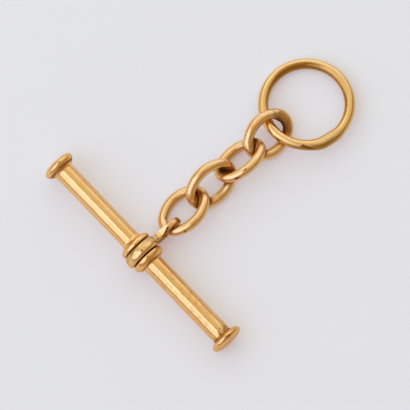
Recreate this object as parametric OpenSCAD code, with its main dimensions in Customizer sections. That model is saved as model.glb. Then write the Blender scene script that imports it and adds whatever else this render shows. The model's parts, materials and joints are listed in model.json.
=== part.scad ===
// T-bar pendant: a toggle bar that turns in a band with a narrow eye, four oval links and a round hanging ring.
// It lies on its side on a flat surface at z = 0. Millimetres. The bar runs along X, the chain towards +Y.

/* [Bar] */
// Tube diameter
tube_d = 2.52; // [2.3:0.02:2.7]
// Left cap: middle plane from the centre of the bar
left_cap_x = -15.25; // [-16:0.05:-14]
// Right cap: middle plane from the centre of the bar
right_cap_x = 15.02; // [14:0.02:16]
// Cap diameter
cap_d = 4.18; // [3.6:0.02:4.6]
// Left cap thickness
left_cap_t = 1.3; // [0.9:0.05:1.35]
// Right cap thickness
right_cap_t = 1.1; // [0.9:0.05:1.35]
// Radius of the rounded cap rim
cap_rim_r = 0.7; // [0.7:0.02:0.9]
// Solder fillet at the caps and collars
fillet = 0.22; // [0.1:0.02:0.3]

/* [Collars] */
// Left collar: middle plane from the centre of the bar
left_collar_x = -1.455; // [-1.6:0.005:-1.4]
// Left collar width
left_collar_w = 0.71; // [0.5:0.01:0.75]
// Left collar diameter
left_collar_d = 4.26; // [3.8:0.02:4.4]
// Right collar: middle plane from the centre of the bar
right_collar_x = 1.19; // [1.15:0.01:1.4]
// Right collar width
right_collar_w = 1.0; // [0.8:0.02:1.04]
// Right collar diameter
right_collar_d = 4.32; // [3.8:0.02:4.4]
// Radius of the rounded collar rims
collar_rim_r = 0.54; // [0.54:0.02:0.8]

/* [Swivel] */
// Band: middle plane from the centre of the bar
band_x = -0.25; // [-0.28:0.01:-0.2]
// Band width
band_w = 1.42; // [1.2:0.02:1.44]
// Band diameter
band_d = 4.85; // [4.7:0.05:5.2]
// Radius of the barrel curve of the band
band_rim_r = 0.95; // [0.8:0.05:1.2]
// Radial play of the bar in the band
band_play = 0.05; // [0.03:0.01:0.08]
// Eye: middle plane from the centre of the bar
eye_x = -0.16; // [-0.28:0.01:-0.1]
// Distance from the bar axis to the centre of the eye tip
eye_reach = 4.92; // [4.8:0.02:5.2]
// Inside height of the eye
eye_h = 1.7; // [1.5:0.02:1.8]
// Strand thickness in the plane of the eye
strand_t = 0.72; // [0.6:0.02:0.8]
// Strand width across the plane of the eye
strand_w = 0.9; // [0.8:0.05:1.1]
// Angle by which the eye points down
eye_drop = 9.82; // [0:0.02:10]

/* [Links] */
// Outside length of a link
link_l = 7.44; // [7.2:0.02:7.8]
// Outside width of a link
link_w = 5.8; // [5.5:0.02:6]
// Wire diameter of the links
link_wire = 1.23; // [1.1:0.01:1.3]
// Radius of the end curves of a link, at the middle of the wire
link_end_r = 1.9; // [1.6:0.05:2]
// Length difference of each link
link_dl = [0.05, 0.04, -0.01, -0.07]; // [-0.1:0.01:0.1]
// Width difference of each link
link_dw = [0.03, -0.08, -0.01, 0.03]; // [-0.1:0.01:0.1]
// Distance from the bar axis to the near wire of the first link
first_y = 4.425; // [4.2:0.005:4.5]
// Slack between one link and the next
link_slack = [0.283, 0.275, 0.092]; // [0.05:0.001:0.4]
// Sideways place of each link
link_x = [-0.55, -0.55, -0.32, -0.29]; // [-1:0.01:1]
// Lean of each link about the chain
link_roll = [-26.6, 43, -41.4, 33.15]; // [-45:0.05:45]
// Nose up or down of each link
link_pitch = [1.51, 5, -0.5, -4.62]; // [-6:0.01:6]
// Turn of each link seen from above
link_yaw = [3.7, 0.2, -2.6, 2.26]; // [-6:0.01:6]

/* [Ring] */
// Radius of the ring at the middle of the wire
ring_r = 5.4; // [5.2:0.02:6]
// Wire diameter of the ring
ring_wire = 1.28; // [1.1:0.01:1.32]
// How far the soldered side is pressed in
ring_flat = 0.1; // [0.08:0.01:0.25]
// Radius of the bend on each side of the soldered stretch
ring_bend_r = 3; // [2.5:0.1:3.5]
// Direction of the soldered side in the plane of the ring
ring_flat_at = -12; // [-40:1:40]
// Diameter of the solder swelling
solder_d = 1.5; // [1.4:0.01:1.6]
// Length of the solder swelling
solder_l = 2.4; // [1.6:0.1:2.6]
// Sideways place of the ring
ring_x = 0.156; // [-1:0.001:1]
// Distance from the middle of the last link to the near wire of the ring
ring_slack = 0.853; // [0.6:0.001:1]
// Tilt of the ring about X
ring_pitch = -5.04; // [-8:0.02:-2]
// Tilt of the ring about Y
ring_roll = -5.6; // [-8:0.05:-4]

/* [Hidden] */
$fn = 64;

// Lean of the bar: it rests on the band and on the right cap
bar_tilt = max(0, asin((band_d - cap_d) / 2 / (right_cap_x - band_x)));
bar_z = band_d / 2;

// Half length and half width of each link at the middle of its wire
link_a = [for (i = [0:3]) (link_l + link_dl[i] - link_wire) / 2];
link_b = [for (i = [0:3]) (link_w + link_dw[i] - link_wire) / 2];
// Distance from the middle of a link to the centre of its side curve, the side radius and its half angle
side_k = [for (i = [0:3]) (pow(link_a[i] - link_end_r, 2) - pow(link_b[i] - link_end_r, 2))
                          / (2 * (link_b[i] - link_end_r))];
side_r = [for (i = [0:3]) link_b[i] + side_k[i]];
side_t = [for (i = [0:3]) atan2(link_a[i] - link_end_r, side_k[i])];

// How far the middle of the wire of link i reaches below the middle of the link once it is turned
function reach(i) =
    let (u = cos(link_pitch[i]) * abs(sin(link_roll[i])), v = abs(sin(link_pitch[i])), m = norm([u, v]))
    atan2(v, u) < side_t[i] ? side_r[i] * m - side_k[i] * u
                            : link_end_r * m + (link_a[i] - link_end_r) * v;

// Places along the chain, from the bar axis
link_y1 = first_y + link_a[0];
link_y2 = link_y1 + (link_a[0] + link_a[1] - link_wire) - link_slack[0];
link_y3 = link_y2 + (link_a[1] + link_a[2] - link_wire) - link_slack[1];
link_y4 = link_y3 + (link_a[2] + link_a[3] - link_wire) - link_slack[2];
link_y = [link_y1, link_y2, link_y3, link_y4];
ring_y = link_y4 + ring_r + ring_slack;
ring_z = ring_wire / 2 + ring_r * norm([cos(ring_pitch) * sin(ring_roll), sin(ring_pitch)]);

// Bend angle and half length of the soldered stretch of the ring
bend_a = acos((ring_r - ring_flat - ring_bend_r) / (ring_r - ring_bend_r));
flat_half = (ring_r - ring_bend_r) * sin(bend_a);

// The middle of the outline on the surface, which becomes x = y = 0
mid_x = (left_cap_x - left_cap_t / 2 + right_cap_x + right_cap_t / 2) / 2;
mid_y = (ring_y + ring_r * cos(ring_pitch) + ring_wire / 2 - band_d / 2) / 2;

module in_place() translate([-mid_x, -mid_y, 0]) children();

// Half section of a disc with a rounded rim, radius outwards along X and the axis along Y
module disc_section(d, t, rim_r) {
    intersection() {
        translate([0, -t / 2]) square([d, t]);
        union() {
            translate([d / 2 - rim_r, 0]) circle(r = rim_r);
            translate([0, -1.3 * rim_r]) square([d / 2 - rim_r, 2.6 * rim_r]);
        }
    }
}

// Half section of a solder fillet on the tube, growing from a face at y towards dir
module fillet_section(y, dir) {
    polygon([[tube_d / 2 - 0.3, y - dir * 0.1], [tube_d / 2 + fillet, y - dir * 0.1],
             [tube_d / 2 + fillet, y], [tube_d / 2, y + dir * fillet], [tube_d / 2 - 0.3, y + dir * fillet]]);
}

// Turns a half section about the X axis
module turned() rotate([0, 90, 0]) rotate_extrude() children();

// The bar and the swivel share one lean and one axis
module on_bar_axis() in_place() translate([0, 0, bar_z]) rotate([0, bar_tilt, 0]) children();

module bar_shape() {
    turned() translate([0, left_cap_x]) square([tube_d / 2, right_cap_x - left_cap_x]);
    turned() translate([0, left_cap_x]) disc_section(cap_d, left_cap_t, cap_rim_r);
    turned() translate([0, right_cap_x]) disc_section(cap_d, right_cap_t, cap_rim_r);
    turned() translate([0, left_collar_x]) disc_section(left_collar_d, left_collar_w, collar_rim_r);
    turned() translate([0, right_collar_x]) disc_section(right_collar_d, right_collar_w, collar_rim_r);
    turned() fillet_section(left_cap_x + left_cap_t / 2, 1);
    turned() fillet_section(right_cap_x - right_cap_t / 2, -1);
    turned() fillet_section(left_collar_x - left_collar_w / 2, -1);
    turned() fillet_section(right_collar_x + right_collar_w / 2, 1);
}

module strand_section() scale([strand_t, strand_w]) circle(d = 1);

// The eye in the XY plane, its long way along +Y
module eye() {
    h = (eye_h + strand_t) / 2;
    root = band_d / 2 - 0.92;
    translate([0, eye_reach, 0]) rotate_extrude(angle = 180) translate([h, 0]) strand_section();
    for (s = [-1, 1])
        translate([s * h, root, 0]) rotate([-90, 0, 0])
            linear_extrude(height = eye_reach - root) strand_section();
}

module swivel_shape() {
    turned() translate([0, band_x]) difference() {
        disc_section(band_d, band_w, band_rim_r);
        translate([-1, -band_w]) square([1 + tube_d / 2 + band_play, 2 * band_w]);
    }
    translate([eye_x, 0, 0]) rotate([-eye_drop, 0, 0]) rotate([0, -90, 0]) eye();
}

// Round wire along an arc about Z, running on past both ends by over
module wire_arc(r, d, start, sweep, over = 0) {
    more = atan(over / r);
    rotate([0, 0, start - more]) rotate_extrude(angle = sweep + 2 * more) translate([r, 0]) circle(d = d);
}

// Oval link i of four arcs in the XY plane, its long way along Y. The end arcs are a hair thicker and take in the
// ends of the side arcs.
module oval(i) {
    for (turn = [0, 180]) rotate([0, 0, turn]) {
        translate([-side_k[i], 0, 0]) wire_arc(side_r[i], link_wire, -side_t[i], 2 * side_t[i]);
        translate([0, link_a[i] - link_end_r, 0])
            wire_arc(link_end_r, link_wire + 0.02, side_t[i], 180 - 2 * side_t[i], 0.1);
    }
}

// Link i where it lies, its low side on the surface
module link(i) {
    in_place() translate([link_x[i], link_y[i], link_wire / 2 + reach(i)])
        rotate([0, 0, link_yaw[i]]) rotate([link_pitch[i], 0, 0]) rotate([0, link_roll[i], 0]) oval(i);
}

// The ring in the XY plane, its soldered side towards +X: one wide arc, two bends and a short straight
module ring_shape() {
    c = ring_r - ring_bend_r;
    wire_arc(ring_r, ring_wire, bend_a, 360 - 2 * bend_a);
    for (s = [-1, 1])
        rotate([0, 0, s * bend_a]) translate([c, 0, 0]) rotate([0, 0, s > 0 ? -bend_a : 0])
            wire_arc(ring_bend_r, ring_wire + 0.02, 0, bend_a, 0.1);
    translate([ring_r - ring_flat, -flat_half, 0]) rotate([-90, 0, 0]) cylinder(h = 2 * flat_half, d = ring_wire);
    translate([ring_r - ring_flat, 0, 0]) rotate([90, 0, 0]) rotate_extrude() solder_section();
}

// Half section of the swelling: an arc over the stretch that meets the wire at both ends
module solder_section() {
    rise = (solder_d - ring_wire) / 2 + 0.1;
    arc_r = (pow(solder_l / 2, 2) + pow(rise, 2)) / (2 * rise);
    intersection() {
        translate([solder_d / 2 - arc_r, 0]) circle(r = arc_r, $fn = 160);
        translate([0, -solder_l / 2]) square([solder_d, solder_l]);
    }
}

module t_bar() color([0.85, 0.65, 0.35]) on_bar_axis() bar_shape();

module swivel() color([0.8, 0.65, 0.38]) on_bar_axis() swivel_shape();

module link_1() color([0.88, 0.66, 0.4]) link(0);

module link_2() color([0.88, 0.66, 0.4]) link(1);

module link_3() color([0.88, 0.66, 0.4]) link(2);

module link_4() color([0.88, 0.66, 0.4]) link(3);

module ring()
    color([0.86, 0.68, 0.36])
        in_place() translate([ring_x, ring_y, ring_z]) rotate([ring_pitch, 0, 0]) rotate([0, ring_roll, 0])
            rotate([0, 0, ring_flat_at]) ring_shape();

t_bar();
swivel();
link_1();
link_2();
link_3();
link_4();
ring();
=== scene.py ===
import json
import math

import bmesh
import bpy
from bpy.props import FloatProperty, FloatVectorProperty, IntProperty, PointerProperty
from mathutils import Matrix, Quaternion, Vector, noise
from mathutils.bvhtree import BVHTree


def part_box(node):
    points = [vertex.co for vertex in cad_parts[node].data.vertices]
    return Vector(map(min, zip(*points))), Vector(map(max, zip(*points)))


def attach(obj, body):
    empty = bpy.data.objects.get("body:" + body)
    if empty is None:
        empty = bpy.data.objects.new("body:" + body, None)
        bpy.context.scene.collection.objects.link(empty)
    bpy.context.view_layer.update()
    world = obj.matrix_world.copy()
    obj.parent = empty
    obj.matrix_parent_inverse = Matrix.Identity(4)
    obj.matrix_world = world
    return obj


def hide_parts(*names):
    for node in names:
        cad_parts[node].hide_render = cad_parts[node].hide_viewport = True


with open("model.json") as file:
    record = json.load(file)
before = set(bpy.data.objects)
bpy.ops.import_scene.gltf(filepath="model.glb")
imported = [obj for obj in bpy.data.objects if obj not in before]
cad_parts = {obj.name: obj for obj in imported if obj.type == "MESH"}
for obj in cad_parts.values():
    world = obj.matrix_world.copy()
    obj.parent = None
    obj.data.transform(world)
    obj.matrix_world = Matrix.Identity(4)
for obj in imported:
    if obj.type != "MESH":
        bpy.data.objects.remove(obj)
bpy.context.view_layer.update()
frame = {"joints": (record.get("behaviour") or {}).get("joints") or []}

bl_info = {
    "name": "T-bar pendant",
    "version": (1, 0, 0),
    "blender": (4, 5, 0),
    "location": "View3D > Sidebar > Pendant",
    "description": "A gold toggle bar on a short chain of oval links with a hanging ring",
    "category": "Add Mesh",
}

MM = 0.001


# Sizes and colours that a user would change


def length(name, description, default_mm):
    """A length property whose default is given in millimetres."""
    return FloatProperty(
        name=name, description=description, default=default_mm * MM, min=0.0,
        soft_max=0.1, precision=5, unit="LENGTH", subtype="DISTANCE",
    )


def place(name, description, default_mm):
    """A signed distance along an axis, its default in millimetres."""
    return FloatProperty(
        name=name, description=description, default=default_mm * MM, precision=5,
        unit="LENGTH", subtype="DISTANCE",
    )


def colour(name, description, default):
    """A colour property."""
    return FloatVectorProperty(
        name=name, description=description, default=default, size=3, min=0.0, max=1.0,
        subtype="COLOR",
    )


def factor(name, description, default):
    """A plain share from 0 to 1."""
    return FloatProperty(
        name=name, description=description, default=default, min=0.0, max=1.0, subtype="FACTOR"
    )


def angle(name, description, degrees):
    """An angle property whose default is given in degrees."""
    return FloatProperty(
        name=name, description=description, default=math.radians(degrees), unit="ROTATION",
        subtype="ANGLE",
    )


class BarSizes(bpy.types.PropertyGroup):
    """Sizes of the toggle bar, measured from its middle."""

    tube_d: length("Tube diameter", "Outside diameter of the tube", 2.52)
    right_tube_d: length("Right tube diameter", "Outside diameter right of the collars", 2.6)
    left_cap_d: length("Left cap diameter", "Diameter of the left cap", 4.25)
    right_cap_d: length("Right cap diameter", "Diameter of the right cap", 4.3)
    cap_height: length("Cap rim height", "Radial height of the rounded rim of a cap", 0.875)
    cap_dome: length("Cap dome", "Rise of the outer face of a cap", 0.06)
    left_cap_x: place("Left cap", "Middle of the left cap", -15.25)
    left_cap_t: length("Left cap thickness", "Thickness of the left cap", 1.3)
    right_cap_x: place("Right cap", "Middle of the right cap", 15.05)
    right_cap_t: length("Right cap thickness", "Thickness of the right cap", 1.2)
    left_collar_x: place("Left collar", "Middle of the left collar", -1.425)
    left_collar_w: length("Left collar width", "Width of the left collar", 0.77)
    left_collar_d: length("Left collar diameter", "Diameter of the left collar", 4.26)
    right_collar_x: place("Right collar", "Middle of the right collar", 1.145)
    right_collar_w: length("Right collar width", "Width of the right collar", 0.91)
    right_collar_d: length("Right collar diameter", "Diameter of the right collar", 4.32)


class SwivelSizes(bpy.types.PropertyGroup):
    """Sizes of the band round the bar and of its eye."""

    band_x: place("Band", "Middle of the band", -0.185)
    band_w: length("Band width", "Width of the band", 1.45)
    band_d: length("Band diameter", "Largest diameter of the band", 4.85)
    band_curve: length("Barrel radius", "Radius of the barrel curve of the band", 0.95)
    crown_x: place("Crown", "Crown of the barrel from the middle of the band", 0.26)
    bore_d: length("Bore", "Inside diameter of the band", 2.62)
    eye_x: place("Eye", "Middle of the eye along the bar", -0.16)
    eye_reach: length("Eye reach", "Bar axis to the centre of the eye tip", 4.92)
    eye_h: length("Eye height", "Inside height of the eye", 1.7)
    strand_t: length("Strand thickness", "Strand thickness in the plane of the eye", 0.72)
    strand_w: length("Strand width", "Strand width across the plane of the eye", 0.9)
    eye_drop: angle("Eye drop", "Angle by which the eye points down", 9.82)


class LinkSizes(bpy.types.PropertyGroup):
    """Sizes that the four links share."""

    long: length("Length", "Outside length of a link", 7.44)
    wide: length("Width", "Outside width of a link", 5.8)
    wire: length("Wire", "Wire diameter", 1.23)
    end_r: length("End radius", "Radius of the end curves at the middle of the wire", 1.9)
    fuller: length("Fuller sides", "Radial growth of the wire along the sides", 0.055)


class RingSizes(bpy.types.PropertyGroup):
    """Sizes of the hanging ring."""

    radius: length("Radius", "Radius at the middle of the wire", 5.4)
    wire: length("Wire", "Wire diameter", 1.28)
    flat: length("Flat", "How far the soldered side is pressed in", 0.1)
    bend_r: length("Bend radius", "Radius of the bend on each side of the soldered stretch", 3.0)
    solder_in: length("Solder inwards", "Rise of the solder on the inside", 0.05)
    solder_out: length("Solder outwards", "Rise of the solder on the outside", 0.22)
    solder_l: length("Solder length", "Half length of the solder swelling", 2.6)


class GoldLooks(bpy.types.PropertyGroup):
    """Colours and finish of the gold."""

    bar: colour("Bar gold", "Colour of the toggle bar", (0.93, 0.58, 0.24))
    swivel: colour("Swivel gold", "Colour of the band and its eye", (0.91, 0.6, 0.27))
    links: colour("Link gold", "Colour of the links", (0.93, 0.612, 0.3))
    ring: colour("Ring gold", "Colour of the ring", (0.92, 0.6, 0.245))
    # The stain and dirt colours also colour the painted shade in gaps, crooks and shadowed sides
    stain: colour("Stain", "Reddish brown stain in pits and joints", (0.3, 0.092, 0.012))
    dirt: colour("Dirt", "Dark dirt in the crevices", (0.13, 0.045, 0.007))
    satin: factor("Roughness", "Roughness of the worn polish", 0.2)


class StageLooks(bpy.types.PropertyGroup):
    """Floor, light and camera."""

    floor: colour("Floor", "Colour of the floor", (0.55, 0.66, 0.66))
    azimuth: angle("Azimuth", "Camera azimuth", 46.5)
    elevation: angle("Elevation", "Camera height above the horizon", 78.0)
    distance: length("Distance", "Camera distance", 1500.0)
    view_width: length("Picture width", "Width of the picture at the pendant", 51.25)
    room: colour("Room", "Colour of the even light of the room", (1.0, 0.76, 0.41))
    ambient: factor("Ambient light", "Strength of the even light of the room", 0.43)
    glow: colour("Floor glow", "Light that shines through the floor", (0.33, 0.24, 0.26))


class PendantSettings(bpy.types.PropertyGroup):
    """Every setting of the pendant."""

    bar: PointerProperty(type=BarSizes)
    swivel: PointerProperty(type=SwivelSizes)
    links: PointerProperty(type=LinkSizes)
    ring: PointerProperty(type=RingSizes)
    gold: PointerProperty(type=GoldLooks)
    stage: PointerProperty(type=StageLooks)
    turns: IntProperty(name="Turning steps", description="Faces round the bar", default=160, min=24)
    wire_sides: IntProperty(name="Wire sides", description="Faces round a wire", default=60, min=12)


def pendant():
    """The pendant's settings in this scene."""
    return bpy.context.scene.pendant


# Drawing and turning outlines, and bending wire

# Points of an outline that are nearer than this are one point
SAME_POINT = 0.002 * MM


def smoothstep(low, high, value):
    """0 below low, 1 above high, and a smooth rise between."""
    t = min(1.0, max(0.0, (value - low) / (high - low)))
    return t * t * (3.0 - 2.0 * t)


class Outline:
    """A line of edges in the XZ plane, drawn by moving its last vertex on. Units are metres."""

    def __init__(self, x, r):
        self.bm = bmesh.new()
        self.end = self.bm.verts.new((x, 0.0, r))

    def step(self, x, r):
        """One edge on to a point."""
        made = bmesh.ops.extrude_vert_indiv(self.bm, verts=[self.end])
        self.end = made["verts"][0]
        self.end.co = (x, 0.0, r)

    def to(self, x, r, steps=1):
        """A straight stretch."""
        start = self.end.co.copy()
        for k in range(1, steps + 1):
            t = k / steps
            self.step(start.x + (x - start.x) * t, start.z + (r - start.z) * t)

    def ease(self, x, r, steps):
        """A soft S curve that leaves and arrives square to the axis."""
        start = self.end.co.copy()
        for k in range(1, steps + 1):
            t = k / steps
            rise = 0.5 - 0.5 * math.cos(math.pi * t)
            self.step(start.x + (x - start.x) * rise, start.z + (r - start.z) * t)

    def arc(self, x, r, half_x, half_r, start, end, steps):
        """An arc of an ellipse about (x, r), from one angle to another in degrees."""
        for k in range(steps + 1):
            at = math.radians(start + (end - start) * k / steps)
            point = Vector((x + half_x * math.cos(at), 0.0, r + half_r * math.sin(at)))
            if k or (point - self.end.co).length > SAME_POINT:
                self.step(point.x, point.z)

    def turned(self, steps):
        """The outline turned once about the X axis, with its seam and poles closed."""
        bmesh.ops.spin(
            self.bm, geom=self.bm.verts[:] + self.bm.edges[:], cent=(0.0, 0.0, 0.0),
            axis=(1.0, 0.0, 0.0), angle=2.0 * math.pi, steps=steps, use_merge=True,
        )
        bmesh.ops.remove_doubles(self.bm, verts=self.bm.verts, dist=SAME_POINT / 2.0)
        bmesh.ops.recalc_face_normals(self.bm, faces=self.bm.faces)
        return self.bm


class Wire:
    """A wire that grows from a circle, bend by bend."""

    def __init__(self, centre, along, radius, sides):
        self.bm = bmesh.new()
        turn = Vector(along).to_track_quat("Z", "Y").to_matrix().to_4x4()
        bmesh.ops.create_circle(
            self.bm, cap_ends=False, radius=radius, segments=sides,
            matrix=Matrix.Translation(centre) @ turn,
        )
        self.loop = self.bm.verts[:] + self.bm.edges[:]

    def bend(self, centre, axis, degrees, steps):
        """Bends on round an axis through a centre."""
        made = bmesh.ops.spin(
            self.bm, geom=self.loop, cent=centre, axis=axis, angle=math.radians(degrees),
            steps=steps, use_duplicate=False,
        )
        self.loop = made["geom_last"]

    def straight(self, vector, steps):
        """Draws the wire straight on."""
        for _ in range(steps):
            edges = [e for e in self.loop if isinstance(e, bmesh.types.BMEdge)]
            made = bmesh.ops.extrude_edge_only(self.bm, edges=edges)["geom"]
            verts = [v for v in made if isinstance(v, bmesh.types.BMVert)]
            bmesh.ops.translate(self.bm, verts=verts, vec=Vector(vector) / steps)
            ring = set(verts)
            self.loop = verts + [
                e for e in made if isinstance(e, bmesh.types.BMEdge) and set(e.verts) <= ring
            ]

    def joined(self):
        """Closes the loop where the last circle meets the first."""
        bmesh.ops.remove_doubles(self.bm, verts=self.bm.verts, dist=SAME_POINT / 2.0)
        bmesh.ops.recalc_face_normals(self.bm, faces=self.bm.faces)
        return self.bm


def moved(bm, matrix):
    """Turns and moves a whole mesh."""
    bmesh.ops.transform(bm, matrix=matrix, verts=bm.verts)
    return bm


def seated(bm, node):
    """Moves a turned mesh so that its box has the middle of its CAD node's box."""
    low = Vector([min(v.co[k] for v in bm.verts) for k in range(3)])
    high = Vector([max(v.co[k] for v in bm.verts) for k in range(3)])
    cad_low, cad_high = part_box(node)
    bmesh.ops.translate(bm, verts=bm.verts, vec=(cad_low + cad_high - low - high) / 2.0)


def shifted(bm, shifts):
    """Moves each vertex by its own shift."""
    for v, shift in zip(bm.verts, shifts):
        v.co += shift


def swell(bm, amount):
    """Moves each vertex along its normal by what amount(point, normal) gives, in metres."""
    bm.normal_update()
    shifted(bm, [v.normal * amount(v.co, v.normal) for v in bm.verts])
    return bm


def handmade(height_mm, wave_mm, seed):
    """A soft unevenness of hand work, each seed with its own waves."""
    shift = Vector((seed * 7.3, seed * 3.1, seed * 5.7))

    def amount(point, normal):
        return height_mm * MM * noise.noise(point / (wave_mm * MM) + shift)

    return amount


# Shader building


class Socket:
    """A shader socket that takes arithmetic. Each expression on values adds its Math nodes."""

    def __init__(self, look, socket):
        self.look = look
        self.socket = socket

    def math(self, operation, *values):
        """One Math node on these values."""
        return self.look.node("ShaderNodeMath", {"operation": operation}, dict(enumerate(values)))

    def __add__(self, other):
        return self.math("ADD", self, other)

    def __radd__(self, other):
        return self.math("ADD", other, self)

    def __sub__(self, other):
        return self.math("SUBTRACT", self, other)

    def __rsub__(self, other):
        return self.math("SUBTRACT", other, self)

    def __mul__(self, other):
        return self.math("MULTIPLY", self, other)

    def __rmul__(self, other):
        return self.math("MULTIPLY", other, self)

    def low(self, other):
        """The smaller of two values."""
        return self.math("MINIMUM", self, other)

    def high(self, other):
        """The larger of two values."""
        return self.math("MAXIMUM", self, other)

    def steps(self, start, end):
        """A smooth rise from 0 at start to 1 at end."""
        return self.look.node(
            "ShaderNodeMapRange", {"interpolation_type": "SMOOTHSTEP"},
            {"Value": self, "From Min": start, "From Max": end},
        )


class Look:
    """A material and its node tree."""

    def __init__(self, name):
        self.material = bpy.data.materials.new(name)
        self.material.use_nodes = True
        self.tree = self.material.node_tree
        self.tree.nodes.clear()

    def node(self, kind, settings, sockets, output=0):
        """Adds a node: its settings first, then a value or a link for each named socket.

        output is the socket that it gives, or None for a node without one.
        """
        made = self.tree.nodes.new(kind)
        for key, value in settings.items():
            setattr(made, key, value)
        for key, value in sockets.items():
            if isinstance(value, Socket):
                self.tree.links.new(value.socket, made.inputs[key])
            else:
                made.inputs[key].default_value = value
        return None if output is None else Socket(self, made.outputs[output])

    def grid(self, turn=(0.0, 0.0, 0.0), drawn=1.0):
        """Object coordinates in millimetres, turned and then drawn out along X."""
        here = self.node("ShaderNodeTexCoord", {}, {}, "Object")
        return self.node(
            "ShaderNodeMapping", {"vector_type": "POINT"},
            {"Vector": here, "Rotation": turn, "Scale": (1.0 / MM / drawn, 1.0 / MM, 1.0 / MM)},
        )

    def mix(self, mask, under, over):
        """A colour that goes from under to over as the mask goes from 0 to 1."""
        def rgba(value):
            return value if isinstance(value, Socket) else (*value, 1.0)

        settings = {"data_type": "RGBA", "blend_type": "MIX"}
        return self.node("ShaderNodeMix", settings, {0: mask, 6: rgba(under), 7: rgba(over)}, 2)

    def noise(self, point, scale, detail, rough):
        """Perlin noise from 0 to 1 on a point in millimetres."""
        return self.node(
            "ShaderNodeTexNoise", {"noise_dimensions": "3D"},
            {"Vector": point, "Scale": scale, "Detail": detail, "Roughness": rough},
        )

    def attribute(self, name):
        """A value painted on the mesh's vertices."""
        return self.node("ShaderNodeAttribute", {"attribute_name": name}, {}, "Fac")

    def surfaced(self, shader):
        """The material, with this shader on its surface."""
        self.node("ShaderNodeOutputMaterial", {}, {"Surface": shader}, None)
        return self.material


def gold_look(name, base, wave, turn=(0.0, 0.0, 0.0), brush=1.0, rougher=0.0):
    """Worn gold: tone, polish, fine scratches along the turned direction, pits, stains and dirt,
    with painted shade and painted highlights.

    turn is the rotation that lays the scratches along the piece, brush how drawn out they are.
    """
    gold = pendant().gold
    satin = gold.satin + rougher
    look = Look(name)
    grid = look.grid()
    along = look.grid(turn, brush)
    tone = look.noise(grid, 0.45, 3.0, 0.55)
    cloud = look.noise(grid, 2.3, 4.0, 0.6)
    hair = look.noise(along, 9.0, 3.0, 0.6)
    grain = look.noise(grid, 14.0, 3.0, 0.6)
    stain = look.attribute("stain")
    dirt = look.attribute("dirt")
    solder = look.attribute("solder")
    tarnish = look.attribute("tarnish")

    # The stain, dirt and tarnish layers carry painted shade as well as real marks
    ragged = stain * (0.55 + 0.9 * cloud)
    stained = ragged.steps(0.12, 0.75)
    dirt_and_shade_mask = (dirt * (0.6 + 0.8 * grain)).steps(0.1, 0.8)
    rosy = [base[0], base[1] * 0.93, base[2] * 0.86]
    green = [base[0] * 0.76, base[1] * 0.8, base[2] * 0.85]
    body = look.mix(tone.steps(0.35, 0.68), rosy, base)
    freckles = look.noise(grid, 3.4, 3.0, 0.65).steps(0.56, 0.74)
    body = look.mix(freckles * 0.35, body, [base[0] * 0.8, base[1] * 0.66, base[2] * 0.45])
    body = look.mix(solder * 0.8, body, green)
    # Tarnish and painted shade both turn the gold towards this brown
    brown = [base[0] * 0.5, base[1] * 0.36, base[2] * 0.2]
    body = look.mix(tarnish * (0.6 + 0.5 * cloud), body, brown)
    # Painted highlight: paler, creamier gold where the pale layer is painted
    body = look.mix(look.attribute("pale") * 0.7, body, (0.98, 0.74, 0.45))
    body = look.mix(stained * 0.85, body, tuple(gold.stain))
    body = look.mix(dirt_and_shade_mask, body, tuple(gold.dirt))

    scratches = hair.steps(0.56, 0.72)
    rough = satin + 0.07 * (cloud - 0.5) + 0.08 * scratches + 0.12 * solder
    rough = (rough + 0.35 * stained + 0.45 * dirt_and_shade_mask).low(0.85).high(0.05)

    height = 0.5 * hair + 0.35 * grain + wave * tone + 0.6 * solder * cloud
    height = height - 1.2 * ragged * grain - 0.8 * dirt_and_shade_mask * grain
    bump = look.node(
        "ShaderNodeBump", {}, {"Strength": 1.0, "Distance": 0.004 * MM, "Height": height}
    )
    metal = 1.0 - 0.12 * dirt_and_shade_mask
    shader = look.node(
        "ShaderNodeBsdfPrincipled", {},
        {"Base Color": body, "Metallic": metal, "Roughness": rough, "Normal": bump,
         "IOR": 1.45, "Specular Tint": (0.86, 0.7, 0.5, 1.0)},
    )
    return look.surfaced(shader)


# Marks of wear and of painted shade in millimetres: the bar's in its own axes, the others on the
# resting pendant


class Mark:
    """A dent, scratch, stain or painted shade along a short line."""

    def __init__(self, start, end, width, depth=0.0, stain=0.0, dirt=0.0, solder=0.0,
                 tarnish=0.0):
        self.start = Vector(start) * MM
        self.end = Vector(end) * MM
        self.width = width * MM
        self.depth = depth * MM
        self.paint = {"stain": stain, "dirt": dirt, "solder": solder, "tarnish": tarnish}

    def near(self, point):
        """1 on the line, falling smoothly to 0 at the mark's width."""
        run = self.end - self.start
        t = 0.0
        if run.length_squared > 0.0:
            t = min(1.0, max(0.0, (point - self.start).dot(run) / run.length_squared))
        return self.fade((point - (self.start + run * t)).length)

    def fade(self, gap):
        """The share at a distance from the middle of the mark."""
        ratio = gap / self.width
        return 0.0 if ratio >= 1.0 else (1.0 - ratio * ratio) ** 2


def spot(at, width, **what):
    """A round mark."""
    return Mark(at, at, width, **what)


class Trail(Mark):
    """A mark along a line through several places."""

    def __init__(self, places, width, **what):
        super().__init__(places[0], places[-1], width, **what)
        self.legs = [Mark(start, end, width) for start, end in zip(places, places[1:])]

    def near(self, point):
        """The nearest leg's share."""
        return max(leg.near(point) for leg in self.legs)


class Hoop(Mark):
    """A mark all round the bar, at a place along its axis and a radius."""

    def __init__(self, x, radius, width, **what):
        at = (x, 0.0, radius)
        super().__init__(at, at, width, **what)

    def near(self, point):
        """The same for the distance from the circle."""
        along = point.x - self.start.x
        out = math.hypot(point.y, point.z) - self.start.z
        return self.fade(math.hypot(along, out))


def on_bar(x, radius, degrees):
    """A place on the bar by its angle from the top towards -Y."""
    lean = math.radians(degrees)
    return (x, -radius * math.sin(lean), radius * math.cos(lean))


TUBE_R = 1.26

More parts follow.
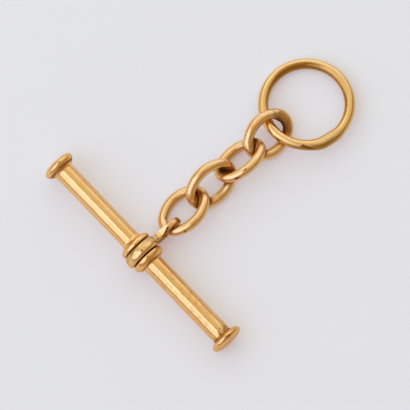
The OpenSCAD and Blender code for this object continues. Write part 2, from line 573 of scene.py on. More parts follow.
# Pits near the right cap: place, angle from the top, width and depth (millimetres and degrees)
PITS = (
    (13.79, -44.0, 0.2, 0.05),
    (14.13, -28.0, 0.22, 0.06),
    (14.33, -21.0, 0.18, 0.05),
    (14.39, -55.0, 0.22, 0.06),
    (14.21, -15.0, 0.16, 0.04),
    (13.71, -6.0, 0.18, 0.04),
    (14.25, 11.0, 0.24, 0.08),
    (13.9, 8.0, 0.16, 0.04),
    (13.95, -62.0, 0.16, 0.03),
)

# Where each link crosses the next; painted shade darkens each crossing
CROSSING_1_2 = (-0.385, -5.9, 1.95)
CROSSING_2_3 = (-0.3, -1.2, 2.3)
CROSSING_3_4 = (-0.1, 3.6, 2.1)

# Inner side of the far bend of the last link
FAR_BEND = (
    (-1.5, 8.02, 2.9), (-1.14, 8.26, 2.66), (-0.66, 8.4, 2.25), (-0.2, 8.5, 1.95),
    (0.34, 8.43, 1.64), (0.66, 8.26, 1.52), (0.9, 7.99, 1.4),
)

MARKS = {
    "t_bar": [
        # Pits, blotches round them, dull solder lines, painted shade in the valley at the foot of
        # the right collar, and a few dents
        spot(on_bar(x, TUBE_R, lean), width, depth=depth, stain=0.95, dirt=0.2)
        for x, lean, width, depth in PITS
    ] + [
        spot(on_bar(14.0, TUBE_R, -38.0), 0.9, stain=0.5, tarnish=0.4),
        spot(on_bar(14.2, TUBE_R, 8.0), 0.6, stain=0.5, tarnish=0.4),
        spot(on_bar(13.2, TUBE_R, -62.0), 0.7, stain=0.4),
        spot(on_bar(14.25, TUBE_R, 62.0), 0.5, stain=0.45),
        Hoop(14.38, 1.34, 0.18, tarnish=1.2, dirt=0.4),
        # Painted shade in the valley at the foot of the right collar
        Hoop(1.7, 1.5, 0.36, stain=0.6),
        Hoop(-14.72, 1.72, 0.4, stain=0.5, tarnish=1.1, dirt=0.1),
        spot(on_bar(-15.31, 2.12, -1.0), 0.22, depth=0.05, stain=1.2, dirt=0.4),
        Mark(on_bar(15.1, 2.1, 2.0), on_bar(15.22, 2.08, -12.0), 0.3, depth=0.03, stain=0.7,
             dirt=0.2),
        spot(on_bar(-3.94, TUBE_R, -30.0), 0.2, depth=0.01, stain=0.35),
        spot(on_bar(-3.22, TUBE_R, -31.0), 0.25, depth=0.01, stain=0.35),
        Mark(on_bar(-2.2, 1.3, -60.0), on_bar(-2.2, 1.3, 70.0), 0.3, stain=0.1),
    ],
    "swivel": [
        # Crease beside the bright facet of the eye, painted dark, painted shade along the eye's
        # right side, then the pitted solder at its root
        Mark((0.03, -11.4, 3.28), (0.4, -12.5, 3.44), 0.17, depth=0.03, dirt=1.2, stain=0.6),
        Mark((0.43, -12.55, 3.38), (0.5, -13.3, 3.3), 0.28, depth=0.02, dirt=1.1, stain=0.8),
        # Painted shade along the right side of the eye
        Mark((0.46, -13.2, 3.05), (0.46, -10.9, 2.6), 0.4, dirt=0.5, stain=0.75),
        Mark((-0.4, -13.88, 3.93), (0.5, -13.7, 3.62), 0.38, depth=-0.06, solder=1.2, tarnish=0.35),
        spot((-0.2, -13.4, 3.6), 0.36, depth=-0.05, solder=1.1),
        spot((0.24, -13.3, 3.6), 0.3, depth=-0.04, solder=1.1, tarnish=0.3),
        spot((-0.08, -13.25, 3.74), 0.2, depth=0.06, dirt=0.9),
        spot((0.31, -13.45, 3.68), 0.22, depth=0.06, dirt=0.9),
        spot((0.7, -13.72, 3.56), 0.2, depth=0.04, dirt=0.8),
        spot((0.52, -13.55, 3.4), 0.36, dirt=1.0, stain=0.5),
        spot((0.66, -13.85, 3.6), 0.3, dirt=0.7, stain=0.4),
        Mark((0.35, -13.85, 3.6), (0.4, -13.3, 3.2), 0.26, depth=0.04, dirt=0.8),
        spot((-0.5, -13.5, 3.5), 0.26, depth=0.04, solder=0.8, dirt=0.4),
        # Stained tip of the eye, and a dent in the band
        spot((0.17, -9.8, 2.45), 0.5, stain=1.0, dirt=0.1),
        spot((0.44, -9.7, 2.1), 0.32, stain=1.0, dirt=0.6),
        spot((0.19, -16.03, 4.81), 0.2, depth=0.05, stain=1.2, dirt=0.7),
        spot((0.3, -14.3, 4.3), 0.3, depth=0.02, solder=0.5),
    ],
    "link_1": [
        spot((1.83, -10.17, 2.86), 0.35, depth=0.01, stain=0.75),
        spot((-1.3, -10.6, 1.5), 0.28, depth=0.03, dirt=0.55),
        # Painted shadow of the eye on this link
        spot((0.0, -11.2, 2.0), 0.9, dirt=0.7, stain=0.5),
        Mark((0.68, -11.44, 2.2), (0.95, -10.5, 2.4), 0.45, dirt=0.7, stain=0.7),
        # Painted shade where it crosses the next link
        spot(CROSSING_1_2, 0.9, dirt=0.4, stain=0.7),
    ],
    "link_2": [
        # Painted shade where it crosses its neighbours
        spot(CROSSING_1_2, 0.9, dirt=0.4, stain=0.7),
        spot(CROSSING_2_3, 1.3, dirt=1.5, stain=1.2),
    ],
    "link_3": [
        # Painted shade where it crosses its neighbours
        spot(CROSSING_2_3, 1.2, dirt=1.5, stain=1.2),
        spot(CROSSING_3_4, 0.9, dirt=0.4, stain=0.7),
        # Seam along the lower limb
        Mark((1.5, 0.6, 4.23), (1.62, -0.5, 3.85), 0.19, depth=0.05, dirt=1.1, stain=0.6),
        Mark((1.62, -0.5, 3.85), (1.45, -1.15, 3.72), 0.22, depth=0.03, dirt=0.8, stain=0.9),
    ],
    "link_4": [
        # Painted shade where it crosses the link before
        spot(CROSSING_3_4, 0.9, dirt=0.4, stain=0.7),
        # Dull far bend, darkest on its inner side
        Trail(FAR_BEND, 0.62, depth=-0.32, dirt=0.62, stain=0.4, tarnish=1.2),
        Mark((-0.85, 8.6, 2.75), (0.3, 8.75, 2.0), 0.7, solder=0.9, tarnish=0.8),
        Mark((0.3, 8.75, 2.0), (1.2, 8.3, 1.5), 0.7, solder=0.9, tarnish=1.0),
        Mark((-1.85, 3.65, 3.4), (-1.6, 3.8, 3.6), 0.09, depth=0.02, stain=0.7),
        spot((-1.62, 4.31, 3.69), 0.1, depth=0.02, stain=0.7),
    ],
    "ring": [
        # Dirt at the last link, stained scratches, and the greyer solder
        spot((-1.1, 7.5, 1.5), 1.0, dirt=0.55, stain=0.7),
        Mark((3.4, 7.7, 2.6), (4.05, 8.1, 2.64), 0.13, depth=0.02, stain=0.7),
        Mark((4.0, 8.05, 2.6), (4.73, 8.49, 2.51), 0.3, depth=0.03, stain=1.6, tarnish=1.2,
             dirt=0.3),
        Mark((4.85, 8.6, 2.45), (5.35, 9.05, 2.24), 0.22, depth=0.03, stain=1.4, dirt=0.3),
        Mark((5.27, 9.6, 2.45), (5.93, 12.7, 2.5), 0.8, solder=0.95),
        # Plain dents
        spot((-4.74, 14.72, 1.22), 0.24, depth=0.03, dirt=0.35, stain=0.3),
        spot((-4.44, 15.04, 1.2), 0.2, depth=0.02, dirt=0.3, stain=0.3),
        spot((-4.05, 15.42, 1.18), 0.24, depth=0.03, dirt=0.35, stain=0.3),
    ],
}

# What is painted on the vertices for the gold to read: wear, painted shade and painted highlights
WEAR_AND_PAINTED_LIGHT = ("stain", "dirt", "solder", "tarnish", "pale")


def paint(bm, name, share):
    """Raises a painted value of each vertex to what share(point, normal) gives."""
    bm.normal_update()
    layer = bm.verts.layers.float.get(name) or bm.verts.layers.float.new(name)
    for v in bm.verts:
        v[layer] = max(v[layer], share(v.co, v.normal))


# Level direction towards the far side of the resting pendant, where the lower sides catch light
FAR_SIDE = Vector((-0.725, 0.688, 0.0))


def underside_shade(strength):
    """Painted shade: darker, duller gold on what faces the floor, less so towards the far side."""
    def share(point, normal):
        down = 1.0 - smoothstep(-0.25, 0.4, normal.z)
        return strength * down * (1.0 - smoothstep(-0.1, 0.8, normal.dot(FAR_SIDE)))

    return share


def marked(bm, marks):
    """Presses the marks into the mesh and paints their stains, dirt and painted shade on its
    vertices.
    """
    for name in WEAR_AND_PAINTED_LIGHT:
        paint(bm, name, lambda point, normal: 0.0)
    layers = {name: bm.verts.layers.float.get(name) for name in WEAR_AND_PAINTED_LIGHT}
    shifts = []
    for v in bm.verts:
        depth = 0.0
        for mark in marks:
            share = mark.near(v.co)
            if share > 0.0:
                depth += mark.depth * share
                for name, strength in mark.paint.items():
                    v[layers[name]] = max(v[layers[name]], strength * share)
        shifts.append(v.normal * -depth)
    shifted(bm, shifts)


def placed(bm, name, material):
    """Makes a mesh into an object of the scene."""
    mesh = bpy.data.meshes.new(name)
    bm.to_mesh(mesh)
    bm.free()
    mesh.materials.append(material)
    made = bpy.data.objects.new(name, mesh)
    bpy.context.scene.collection.objects.link(made)
    return made


def finished(bm, name, node, body, material):
    """Makes the object of a piece, smooth, with its material in a slot, parents it to its body and
    hides its CAD node.
    """
    piece = placed(bm, name, material)
    faces = piece.data.polygons
    faces.foreach_set("use_smooth", [True] * len(faces))
    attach(piece, body)
    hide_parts(node)


# The toggle bar


def bar_frame():
    """Where the bar lies: the place and direction of its own axis."""
    joint = frame["joints"][0]
    axis = Vector(joint["axis"]).normalized()
    lean = math.atan2(-axis.z, axis.x)
    return Matrix.Translation(joint["pos_m"]) @ Matrix.Rotation(lean, 4, "Y")


def bar_outline(s):
    """Half section of the bar from the left cap to the right cap."""
    tube = s.tube_d / 2.0
    rim = s.left_cap_d / 2.0 - s.cap_height
    left = s.left_cap_x
    half = s.left_cap_t / 2.0 - s.cap_dome
    line = Outline(left - s.left_cap_t / 2.0, 0.0)
    line.ease(left - half, rim, 14)
    line.arc(left, rim, half, s.cap_height, 180.0, 36.0, 22)
    # Groove, then the rounded flange and the fillet where the left cap is soldered on
    flange = left + 0.56 * MM
    fillet = 0.26 * MM
    line.to(left + 0.44 * MM, tube + 0.36 * MM, 2)
    line.to(flange, tube + 0.38 * MM, 2)
    line.arc(flange, tube + 0.28 * MM, 0.12 * MM, 0.1 * MM, 90.0, 0.0, 5)
    line.arc(flange + 0.42 * MM, tube + fillet, 0.3 * MM, fillet, 180.0, 270.0, 7)

    # Soldered flare, then the collar, whose crest is at its flat face to the band
    near = s.left_collar_x - s.left_collar_w / 2.0
    far = s.left_collar_x + s.left_collar_w / 2.0
    flare = 0.4 * MM
    collar = s.left_collar_d / 2.0
    shoulder = 0.2 * MM
    line.to(near - 0.62 * MM, tube, 110)
    line.arc(near - 0.6 * MM, tube + flare, 0.6 * MM, flare, 270.0, 345.0, 12)
    crest = far - shoulder
    dome = collar - tube - 0.36 * MM
    line.arc(crest, collar - dome, crest - near, dome, 172.0, 90.0, 22)
    line.arc(crest, collar - shoulder, shoulder, shoulder, 90.0, 4.0, 10)
    line.to(far, tube + 0.1 * MM, 6)
    line.to(far, tube, 2)

    near = s.right_collar_x - s.right_collar_w / 2.0
    far = s.right_collar_x + s.right_collar_w / 2.0
    collar = s.right_collar_d / 2.0
    line.to(near, tube, 16)
    line.to(near, collar - shoulder, 8)
    crest = near + shoulder
    line.arc(crest, collar - shoulder, shoulder, shoulder, 176.0, 90.0, 10)
    line.arc(crest, collar - dome, s.right_collar_w - shoulder, dome, 90.0, 14.0, 24)
    tube = s.right_tube_d / 2.0
    flare = 0.28 * MM
    line.arc(far + 0.3 * MM, tube + flare, 0.3 * MM, flare, 195.0, 270.0, 10)

    # Finer steps near the cap for its pits, the solder line, then the right cap
    right = s.right_cap_x
    half = s.right_cap_t / 2.0 - s.cap_dome
    rim = s.right_cap_d / 2.0 - s.cap_height
    joint = right - half - 0.08 * MM
    line.to(joint - 1.82 * MM, tube, 90)
    line.to(joint - 0.08 * MM, tube, 34)
    line.arc(joint, tube, 0.08 * MM, 0.05 * MM, 180.0, 20.0, 6)
    line.to(joint + 0.1 * MM, rim, 2)
    line.arc(right, rim, half, s.cap_height, 178.0, 0.0, 26)
    line.ease(right + s.right_cap_t / 2.0, 0.0, 14)
    return line


# The swivel


def band_mesh(s, turns):
    """The barrel band with its bore."""
    half = s.band_w / 2.0
    centre = s.band_d / 2.0 - s.band_curve
    edge = math.acos(half / s.band_curve)
    arc_end = math.degrees(edge) + 1.5
    bore = s.bore_d / 2.0
    left = s.band_x - half
    right = s.band_x + half
    chamfer = 0.05 * MM
    line = Outline(left + chamfer, bore)
    line.to(left, bore + chamfer)
    line.to(left, centre + s.band_curve * math.sin(edge) - 0.04 * MM, 6)
    crown = s.band_x + s.crown_x
    reach = (half + s.crown_x) / math.cos(edge)
    line.arc(crown, centre, reach, s.band_curve, 180.0 - arc_end, 90.0, 14)
    reach = (half - s.crown_x) / math.cos(edge)
    line.arc(crown, centre, reach, s.band_curve, 90.0, arc_end, 12)
    line.to(right, line.end.co.z - chamfer)
    line.to(right, bore + chamfer, 6)
    line.to(right - chamfer, bore)
    line.to(left + chamfer, bore, 8)
    return line.turned(turns)


# Squareness of the strand's section, and how solder widens and thickens its roots
STRAND_EDGE = 3.0
ROOT_WIDER = 0.14
ROOT_THICKER = 0.25
# The lapped stub: its end along the strand, slope and rise, and its edge and taper in strand widths
STUB_END = 0.82
STUB_SLOPE = 0.25
STUB_RISE = 0.13 * MM
STUB_EDGE = 0.32
STUB_TAPER = 1.05
# Its other edge in strand widths, and where along the strand and how steeply that is cut off
STUB_BACK = 0.55
STUB_CUT_FROM = 0.72
STUB_CUT = 2.4


def eye_mesh(s, sides):
    """The narrow upright loop of flattened wire, its roots inside the band."""
    rise = (s.eye_h + s.strand_t) / 2.0
    root = s.band_d / 2.0 - 0.6 * MM
    run = s.eye_reach - root
    wire = Wire((0.0, root, rise), (0.0, 1.0, 0.0), 0.5, sides)
    for v in wire.bm.verts:
        across, up = 2.0 * v.co.x, 2.0 * (v.co.z - rise)
        flat = (abs(across) ** STRAND_EDGE + abs(up) ** STRAND_EDGE) ** (-1.0 / STRAND_EDGE)
        v.co.x = 0.5 * s.strand_w * across * flat
        v.co.z = rise + 0.5 * s.strand_t * up * flat
    wire.straight((0.0, run, 0.0), 70)
    wire.bend((0.0, s.eye_reach, 0.0), (-1.0, 0.0, 0.0), 180.0, 40)
    wire.straight((0.0, -run, 0.0), 70)
    bmesh.ops.holes_fill(wire.bm, edges=[e for e in wire.bm.edges if e.is_boundary])
    bm = wire.joined()
    # Solder flares the roots where they meet the band
    for v in bm.verts:
        flare = 1.0 - smoothstep(root + 0.3 * MM, root + 0.9 * MM, v.co.y)
        side = math.copysign(rise, v.co.z)
        v.co.x *= 1.0 + ROOT_WIDER * flare
        v.co.z = side + (v.co.z - side) * (1.0 + ROOT_THICKER * flare)
    # The bright stub that is lapped over the upper strand, painted paler as a highlight, and the
    # crease beside it
    layer = bm.verts.layers.float.new("pale")
    top = rise + 0.5 * s.strand_t
    soft = 0.05 * MM
    for v in bm.verts:
        if v.co.z < rise + 0.1 * s.strand_t or v.co.y > s.eye_reach:
            continue
        t = (v.co.y - root) / run
        inside = s.strand_w * (STUB_EDGE - STUB_TAPER * (t - 0.5)) - v.co.x
        beyond = v.co.x + s.strand_w * (STUB_BACK - STUB_CUT * max(0.0, t - STUB_CUT_FROM))
        if t < STUB_END and inside > 0.0 and beyond > 0.0:
            plane = top + STUB_RISE - STUB_SLOPE * (0.3 * s.strand_w - v.co.x)
            share = smoothstep(0.0, soft, inside) * smoothstep(0.0, soft, beyond)
            v.co.z += share * max(0.0, plane - v.co.z)
            v[layer] = share * smoothstep(0.3, 0.42, t)
    # The rest of the eye is duller, darkened further by painted shade towards its right side
    tarnish = bm.verts.layers.float.new("tarnish")
    for v in bm.verts:
        side = smoothstep(0.1, 0.45, v.co.x / s.strand_w)
        v[tarnish] = (0.3 + 0.8 * side) * (1.0 - v[layer])
    shift = Matrix.Translation((s.eye_x, 0.0, 0.0))
    return moved(bm, shift @ Matrix.Rotation(-s.eye_drop, 4, "X"))


# The links


# Each link: how much longer and wider, and its roll, pitch and yaw (millimetres and degrees)
LINKS = {
    "link_1": (0.05, 0.03, (-26.6, 1.51, 3.7)),
    "link_2": (0.04, -0.08, (43.0, 5.0, 0.2)),
    "link_3": (-0.01, -0.01, (-41.4, -0.5, -2.6)),
    "link_4": (-0.07, 0.03, (33.15, -4.62, 2.26)),
}


def oval_mesh(s, longer, wider, sides):
    """An oval link of four arcs in the XY plane, its long way along Y."""
    a = (s.long + longer * MM - s.wire) / 2.0
    b = (s.wide + wider * MM - s.wire) / 2.0
    end = a - s.end_r
    side = (end ** 2 - (b - s.end_r) ** 2) / (2.0 * (b - s.end_r))
    side_r = b + side
    half = math.atan2(end, side)
    arc = math.degrees(2.0 * half)
    start = Vector((side_r * math.cos(half) - side, -side_r * math.sin(half), 0.0))
    heading = (math.sin(half), math.cos(half), 0.0)
    wire = Wire(start, heading, s.wire / 2.0, sides)
    up = (0.0, 0.0, 1.0)
    wire.bend((-side, 0.0, 0.0), up, arc, 70)
    wire.bend((0.0, end, 0.0), up, 180.0 - arc, 50)
    wire.bend((side, 0.0, 0.0), up, arc, 70)
    wire.bend((0.0, -end, 0.0), up, 180.0 - arc, 50)
    bm = wire.joined()

    def fuller(point, normal):
        return s.fuller * (1.0 - smoothstep(0.25 * a, 0.8 * a, abs(point.y)))

    # Painted shade on the inner side of the wire, towards the link's own opening
    def inside(point, normal):
        return 0.4 * smoothstep(0.25, 1.0, -normal.x * math.copysign(1.0, point.x))

    paint(bm, "tarnish", inside)
    return swell(bm, fuller)


# The widest gap that a dark fill of painted shade closes where two links cross, and what stays open
# of it on each side
CROOK = 0.62 * MM
CROOK_OPEN = 0.012 * MM
# The painted shade there: its strength, and the gaps where it starts and ends to fade, in crooks
CROOK_SHADE = {"dirt": (0.6, 0.3, 0.9), "stain": (0.8, 0.5, 1.5), "tarnish": (1.2, 0.9, 1.7)}
CROOK_REACH = 1.7


def crook_shade_fill(bm, neighbour):
    """Fills the crook towards the neighbour's surface halfway with a dark fill, and paints shade on
    it.
    """
    bm.normal_update()
    layers = {name: bm.verts.layers.float.get(name) for name in CROOK_SHADE}
    touching = 0.02 * MM
    shifts = []
    for v in bm.verts:
        found, _, _, gap = neighbour.find_nearest(v.co, CROOK_REACH * CROOK)
        if found is None or gap < touching:
            shifts.append(Vector())
            continue
        near = smoothstep(0.0, 0.6, v.normal.dot(found - v.co) / gap)
        fill = near * (1.0 - smoothstep(0.6 * CROOK, CROOK, gap))
        shifts.append(v.normal * fill * max(0.0, gap / 2.0 - CROOK_OPEN))
        for name, (strength, start, end) in CROOK_SHADE.items():
            share = strength * near * (1.0 - smoothstep(start * CROOK, end * CROOK, gap))
            v[layers[name]] = max(v[layers[name]], share)
    shifted(bm, shifts)


def turn_of(roll, pitch, yaw):
    """Roll about Y, then pitch about X, then yaw about Z, in degrees."""
    return (
        Matrix.Rotation(math.radians(yaw), 4, "Z")
        @ Matrix.Rotation(math.radians(pitch), 4, "X")
        @ Matrix.Rotation(math.radians(roll), 4, "Y")
    )


# The ring


# Roll, pitch and yaw of the ring, and the direction of its soldered flat, in degrees
RING_TURN = (-5.6, -5.04, 0.0)
FLAT_AT = -12.0
# Directions from the soldered side, in degrees: dark inner, painted highlight on the outer side and
# dull outer stretch
DARK_AT = 140.0
BRIGHT_AT = 165.0
SHADED_AT = -25.0


def ring_mesh(s, sides):
    """The ring in the XY plane, its soldered flat towards +X."""
    inner = s.radius - s.bend_r
    bend = math.acos((inner - s.flat) / inner)
    turn = math.degrees(bend)
    flat_half = inner * math.sin(bend)
    start = Vector((math.cos(bend), math.sin(bend), 0.0)) * s.radius
    wire = Wire(start, (-math.sin(bend), math.cos(bend), 0.0), s.wire / 2.0, sides)
    up = (0.0, 0.0, 1.0)
    wire.bend((0.0, 0.0, 0.0), up, 360.0 - 2.0 * turn, 330)
    wire.bend((inner * math.cos(bend), -inner * math.sin(bend), 0.0), up, turn, 14)
    wire.straight((0.0, 2.0 * flat_half, 0.0), 24)
    wire.bend((inner * math.cos(bend), inner * math.sin(bend), 0.0), up, turn, 14)
    bm = wire.joined()

    def solder(point, normal):
        if point.x < 0.0:
            return 0.0
        fade = 1.0 - smoothstep(0.1, 1.0, abs(point.y + 0.5 * MM) / (1.25 * s.solder_l))
        near = 1.0 - smoothstep(0.1, 0.8, abs(point.y) / s.solder_l)
        return s.solder_in * near * max(0.0, -normal.x) + s.solder_out * fade * max(0.0, normal.x)

    def lobe(point, at):
        return math.cos(math.atan2(point.y, point.x) - math.radians(at))

    def out(point, normal):
        return normal.dot(point.normalized())

    def inside(point, normal):
        far = lobe(point, DARK_AT)
        wider = 0.4 * smoothstep(0.7, 1.0, lobe(point, BRIGHT_AT))
        dark = 0.3 + 0.7 * smoothstep(-0.5, 0.5, far) + wider
        return dark * smoothstep(-0.1 - wider, 0.55 - wider, -out(point, normal))

    def shaded(point, normal):
        near = smoothstep(0.6, 1.0, lobe(point, SHADED_AT))
        return 0.9 * near * smoothstep(0.25, 0.8, out(point, normal))

    # Painted highlight on the outer side towards BRIGHT_AT
    def bright(point, normal):
        near = smoothstep(0.3, 0.9, lobe(point, BRIGHT_AT))
        return 0.7 * near * smoothstep(0.2, 0.9, out(point, normal))

    def outer(point, normal):
        return 0.04 * MM * smoothstep(0.0, 1.0, out(point, normal))

    paint(bm, "tarnish", inside)
    paint(bm, "pale", bright)
    paint(bm, "tarnish", shaded)
    swell(bm, outer)
    return swell(bm, solder)


# Operators


class PENDANT_OT_toggle_bar(bpy.types.Operator):
    """Turns the toggle bar with its caps and collars"""

    bl_idname = "pendant.toggle_bar"
    bl_label = "Toggle bar"

    def execute(self, context):
        own = pendant()
        bm = bar_outline(own.bar).turned(own.turns)
        swell(bm, handmade(height_mm=0.012, wave_mm=2.6, seed=1))
        swell(bm, handmade(height_mm=0.006, wave_mm=0.9, seed=2))
        # Just short of the collars' faces towards the band, in collar widths from their middles
        face = 0.495
        low = own.bar.left_collar_x + face * own.bar.left_collar_w
        high = own.bar.right_collar_x - face * own.bar.right_collar_w
        tube = own.bar.tube_d / 2.0

        # Painted shade on the tube in the narrow gaps between the collars and the band
        def between(point, normal):
            if not low < point.x < high:
                return 0.0
            return 1.0 - smoothstep(tube + 0.15 * MM, tube + 0.6 * MM, math.hypot(point.y, point.z))

        def mottled(point, normal):
            cloud = noise.noise(point / (0.45 * MM)) + 0.5 * noise.noise(point / (0.2 * MM))
            return 0.35 * smoothstep(0.05, 0.5, cloud) * smoothstep(1.8 * MM, 3.5 * MM, point.x)

        def off_centre(point, normal):
            return 0.08 * MM * smoothstep(14.4 * MM, 14.7 * MM, point.x) * normal.y

        paint(bm, "dirt", between)
        paint(bm, "tarnish", mottled)
        swell(bm, off_centre)
        marked(bm, MARKS["t_bar"])
        moved(bm, bar_frame())
        look = gold_look("bar_gold", own.gold.bar, wave=0.8, brush=9.0)
        finished(bm, "toggle_bar", "t_bar", "bar", look)
        return {"FINISHED"}


class PENDANT_OT_swivel(bpy.types.Operator):
    """Turns the band and bends the eye that is soldered to it"""

    bl_idname = "pendant.swivel"
    bl_label = "Swivel band and eye"

    def execute(self, context):
        own = pendant()
        s = own.swivel
        bm = band_mesh(s, own.turns)
        rim = s.band_d / 2.0 - 0.35 * MM
        crown = s.band_x + s.crown_x

        # Painted shade on the band's faces towards the collars, deep in the gaps
        def sides(point, normal):
            deep = 1.0 - smoothstep(rim - 0.4 * MM, rim, math.hypot(point.y, point.z))
            return deep * smoothstep(0.49 * s.band_w, 0.5 * s.band_w, abs(point.x - s.band_x))

        # Painted shade on the flanks of the barrel, so that only the crown stays bright
        def flanks(point, normal):
            return 0.4 * smoothstep(0.12 * MM, 0.5 * MM, abs(point.x - crown))

        paint(bm, "dirt", sides)
        paint(bm, "tarnish", flanks)
        eye = eye_mesh(s, own.wire_sides)
        held = bpy.data.meshes.new("eye")
        eye.to_mesh(held)
        eye.free()
        bm.from_mesh(held)
        bpy.data.meshes.remove(held)
        swell(bm, handmade(height_mm=0.015, wave_mm=1.4, seed=3))
        moved(bm, bar_frame())
        marked(bm, MARKS["swivel"])
        look = gold_look("swivel_gold", own.gold.swivel, wave=1.0)
        finished(bm, "swivel_band", "swivel", "chain", look)
        return {"FINISHED"}


class PENDANT_OT_links(bpy.types.Operator):
    """Bends the four oval links and lays each in the next"""

    bl_idname = "pendant.links"
    bl_label = "Chain links"

    def execute(self, context):
        own = pendant()
        turn = (0.0, 0.0, math.pi / 2.0)
        look = gold_look("link_gold", own.gold.links, wave=0.8, turn=turn, brush=2.0, rougher=0.04)
        links = []
        for count, (node, (longer, wider, lie)) in enumerate(LINKS.items()):
            bm = oval_mesh(own.links, longer, wider, own.wire_sides)
            moved(bm, turn_of(*lie))
            seated(bm, node)
            swell(bm, handmade(height_mm=0.012, wave_mm=1.8, seed=10 + count))
            links.append(bm)
        surfaces = [BVHTree.FromBMesh(bm) for bm in links]
        for count, (node, bm) in enumerate(zip(LINKS, links)):
            marked(bm, MARKS[node])
            paint(bm, "tarnish", underside_shade(0.3))
            for other in (count - 1, count + 1):
                if 0 <= other < len(surfaces):
                    crook_shade_fill(bm, surfaces[other])
            finished(bm, "chain_" + node, node, "chain", look)
        return {"FINISHED"}


class PENDANT_OT_ring(bpy.types.Operator):
    """Bends the hanging ring with its soldered flat"""

    bl_idname = "pendant.ring"
    bl_label = "Hanging ring"

    def execute(self, context):
        own = pendant()
        bm = ring_mesh(own.ring, own.wire_sides)
        flat = Matrix.Rotation(math.radians(FLAT_AT), 4, "Z")
        moved(bm, turn_of(*RING_TURN) @ flat)
        seated(bm, "ring")
        swell(bm, handmade(height_mm=0.012, wave_mm=2.4, seed=20))
        marked(bm, MARKS["ring"])
        paint(bm, "tarnish", underside_shade(0.65))
        look = gold_look("ring_gold", own.gold.ring, wave=0.6)
        finished(bm, "hanging_ring", "ring", "chain", look)
        return {"FINISHED"}


# Stage


# Soft panels, one metre away: azimuth, elevation and roll in degrees, size in metres, radiance
PANELS = {
    "key_panel": (346.5, 42.3, 36.0, 1.5, 0.97, (0.67, 0.97, 1.58)),
    "high_panel": (201.5, 63.2, -10.0, 1.15, 0.85, (0.35, 0.42, 0.42)),
    "north_panel": (221.0, 31.9, 0.0, 1.7, 0.6, (0.5, 0.62, 0.85)),
    "top_panel": (322.0, 72.0, 0.0, 0.38, 0.34, (0.65, 0.8, 1.05)),
    "low_panel": (224.0, 11.0, 0.0, 1.3, 0.4, (0.4, 0.5, 0.7)),
    "foot_panel": (347.0, 12.0, 0.0, 1.5, 0.42, (0.12, 0.125, 0.125)),
    "west_panel": (282.1, 42.5, 10.0, 0.9, 0.9, (0.45, 0.54, 0.6)),
}


# The point that the camera looks at, in millimetres
LOOK_AT = (1.028, -6.008, 2.4)


def toward(azimuth, elevation):
    """Unit vector to a place in the sky, angles in radians, azimuth 0 on the -Y side."""
    return Vector((
        math.sin(azimuth) * math.cos(elevation),
        -math.cos(azimuth) * math.cos(elevation),
        math.sin(elevation),
    ))


# Half width of the floor in metres, and how far it lies below the pendant
FLOOR_HALF = 3.0
FLOOR_DROP = 0.01 * MM


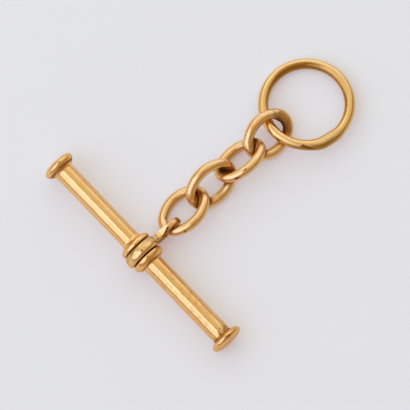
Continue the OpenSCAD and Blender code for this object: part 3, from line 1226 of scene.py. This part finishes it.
class PENDANT_OT_stage(bpy.types.Operator):
    """Sets the floor, the soft light and the camera"""

    bl_idname = "pendant.stage"
    bl_label = "Floor, light and camera"

    def floor(self, own):
        bm = bmesh.new()
        bmesh.ops.create_grid(bm, x_segments=8, y_segments=8, size=FLOOR_HALF)
        moved(bm, Matrix.Translation((0.0, 0.0, -FLOOR_DROP)))
        look = Look("floor_paper")
        cloud = look.noise(look.grid(), 0.06, 2.0, 0.5)
        pale = [c * 0.985 for c in own.floor]
        shade = look.mix(cloud, pale, tuple(own.floor))
        shader = look.node(
            "ShaderNodeBsdfPrincipled", {},
            {"Base Color": shade, "Roughness": 0.8, "Specular IOR Level": 0.1, "Coat Weight": 1.0,
             "Coat Roughness": 0.2, "Emission Color": (*own.glow, 1.0), "Emission Strength": 1.0},
        )
        placed(bm, "floor", look.surfaced(shader))

    def lights(self, own):
        for name, (azimuth, elevation, roll, wide, high, radiance) in PANELS.items():
            light = bpy.data.lights.new(name, "AREA")
            light.shape = "RECTANGLE"
            light.size = wide
            light.size_y = high
            strength = max(radiance)
            light.energy = strength * math.pi * wide * high
            light.color = [value / strength for value in radiance]
            lamp = bpy.data.objects.new(name, light)
            direction = toward(math.radians(azimuth), math.radians(elevation))
            lamp.location = direction
            lamp.rotation_mode = "QUATERNION"
            rolled = Quaternion((0.0, 0.0, 1.0), math.radians(roll))
            lamp.rotation_quaternion = direction.to_track_quat("Z", "Y") @ rolled
            lamp.visible_camera = False
            bpy.context.scene.collection.objects.link(lamp)
        world = bpy.data.worlds.new("room")
        world.use_nodes = True
        sky = world.node_tree.nodes["Background"]
        sky.inputs["Color"].default_value = (*own.room, 1.0)
        sky.inputs["Strength"].default_value = own.ambient
        bpy.context.scene.world = world

    def camera(self, own):
        back = toward(own.azimuth, own.elevation)
        north = Vector((-math.sin(own.azimuth), math.cos(own.azimuth), 0.0))
        up = north * math.sin(own.elevation) + Vector((0.0, 0.0, math.cos(own.elevation)))
        right = up.cross(back)
        aim = Vector(LOOK_AT) * MM
        data = bpy.data.cameras.new("camera")
        data.sensor_width = 36.0
        data.lens = data.sensor_width * own.distance / own.view_width
        data.clip_start = 0.01
        camera = bpy.data.objects.new("camera", data)
        camera.matrix_world = Matrix.Translation(aim + back * own.distance) @ Matrix(
            (right, up, back)
        ).transposed().to_4x4()
        bpy.context.scene.collection.objects.link(camera)
        bpy.context.scene.camera = camera

    def execute(self, context):
        own = pendant().stage
        self.floor(own)
        self.lights(own)
        self.camera(own)
        view = bpy.context.scene.view_settings
        view.view_transform = "Standard"
        view.look = "None"
        return {"FINISHED"}


class PENDANT_PT_panel(bpy.types.Panel):
    """The pendant's pieces and settings"""

    bl_label = "Pendant"
    bl_idname = "PENDANT_PT_panel"
    bl_space_type = "VIEW_3D"
    bl_region_type = "UI"
    bl_category = "Pendant"

    def draw(self, context):
        own = pendant()
        for step in STEPS:
            self.layout.operator(step.bl_idname)
        for group in (own.bar, own.swivel, own.links, own.ring, own.gold, own.stage):
            box = self.layout.box()
            for key in group.__annotations__:
                box.prop(group, key)


STEPS = (
    PENDANT_OT_stage,
    PENDANT_OT_toggle_bar,
    PENDANT_OT_swivel,
    PENDANT_OT_links,
    PENDANT_OT_ring,
)
GROUPS = (BarSizes, SwivelSizes, LinkSizes, RingSizes, GoldLooks, StageLooks, PendantSettings)


def register():
    """Registers the settings, the operators and the panel."""
    for kind in (*GROUPS, *STEPS, PENDANT_PT_panel):
        bpy.utils.register_class(kind)
    bpy.types.Scene.pendant = PointerProperty(type=PendantSettings)


def unregister():
    """Takes them back out."""
    del bpy.types.Scene.pendant
    for kind in reversed((*GROUPS, *STEPS, PENDANT_PT_panel)):
        bpy.utils.unregister_class(kind)


def main():
    """Makes the stage and the pieces."""
    register()
    bpy.ops.pendant.stage()
    bpy.ops.pendant.toggle_bar()
    bpy.ops.pendant.swivel()
    bpy.ops.pendant.links()
    bpy.ops.pendant.ring()


if __name__ == "__main__":
    main()
